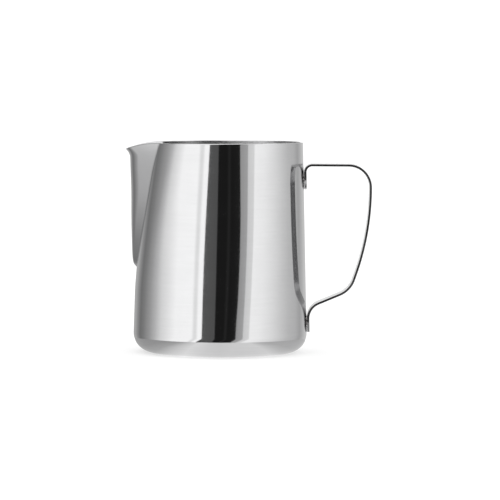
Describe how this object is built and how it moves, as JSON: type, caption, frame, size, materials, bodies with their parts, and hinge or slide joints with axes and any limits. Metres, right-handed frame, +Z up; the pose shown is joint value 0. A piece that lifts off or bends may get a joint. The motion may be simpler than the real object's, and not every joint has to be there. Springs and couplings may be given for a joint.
{
  "type": "milk frothing pitcher",
  "caption": "Open metal jug with slightly tapered wall, rounded base corner, pressed beak spout and welded open strap handle, for steaming and pouring milk.",
  "frame": {"origin": "centre of the base, on the plane that the pitcher stands on", "axes": "+Z up along the cup's axis, +X towards the handle, -X towards the spout"},
  "size_m": [0.1284, 0.0906, 0.1098],
  "materials": {
    "cup_steel": "polished",
    "spout_steel": "polished",
    "seam_steel": "satin",
    "strip_steel": "satin",
    "nugget_steel": "satin"
  },
  "bodies": {
    "root": {"body_shell": "cup_steel", "spout": "spout_steel", "spout_seam_weld": "seam_steel", "handle": "strip_steel", "upper_weld_left": "nugget_steel", "upper_weld_right": "nugget_steel", "lower_weld_left": "nugget_steel", "lower_weld_right": "nugget_steel"}
  },
  "joints": []
}
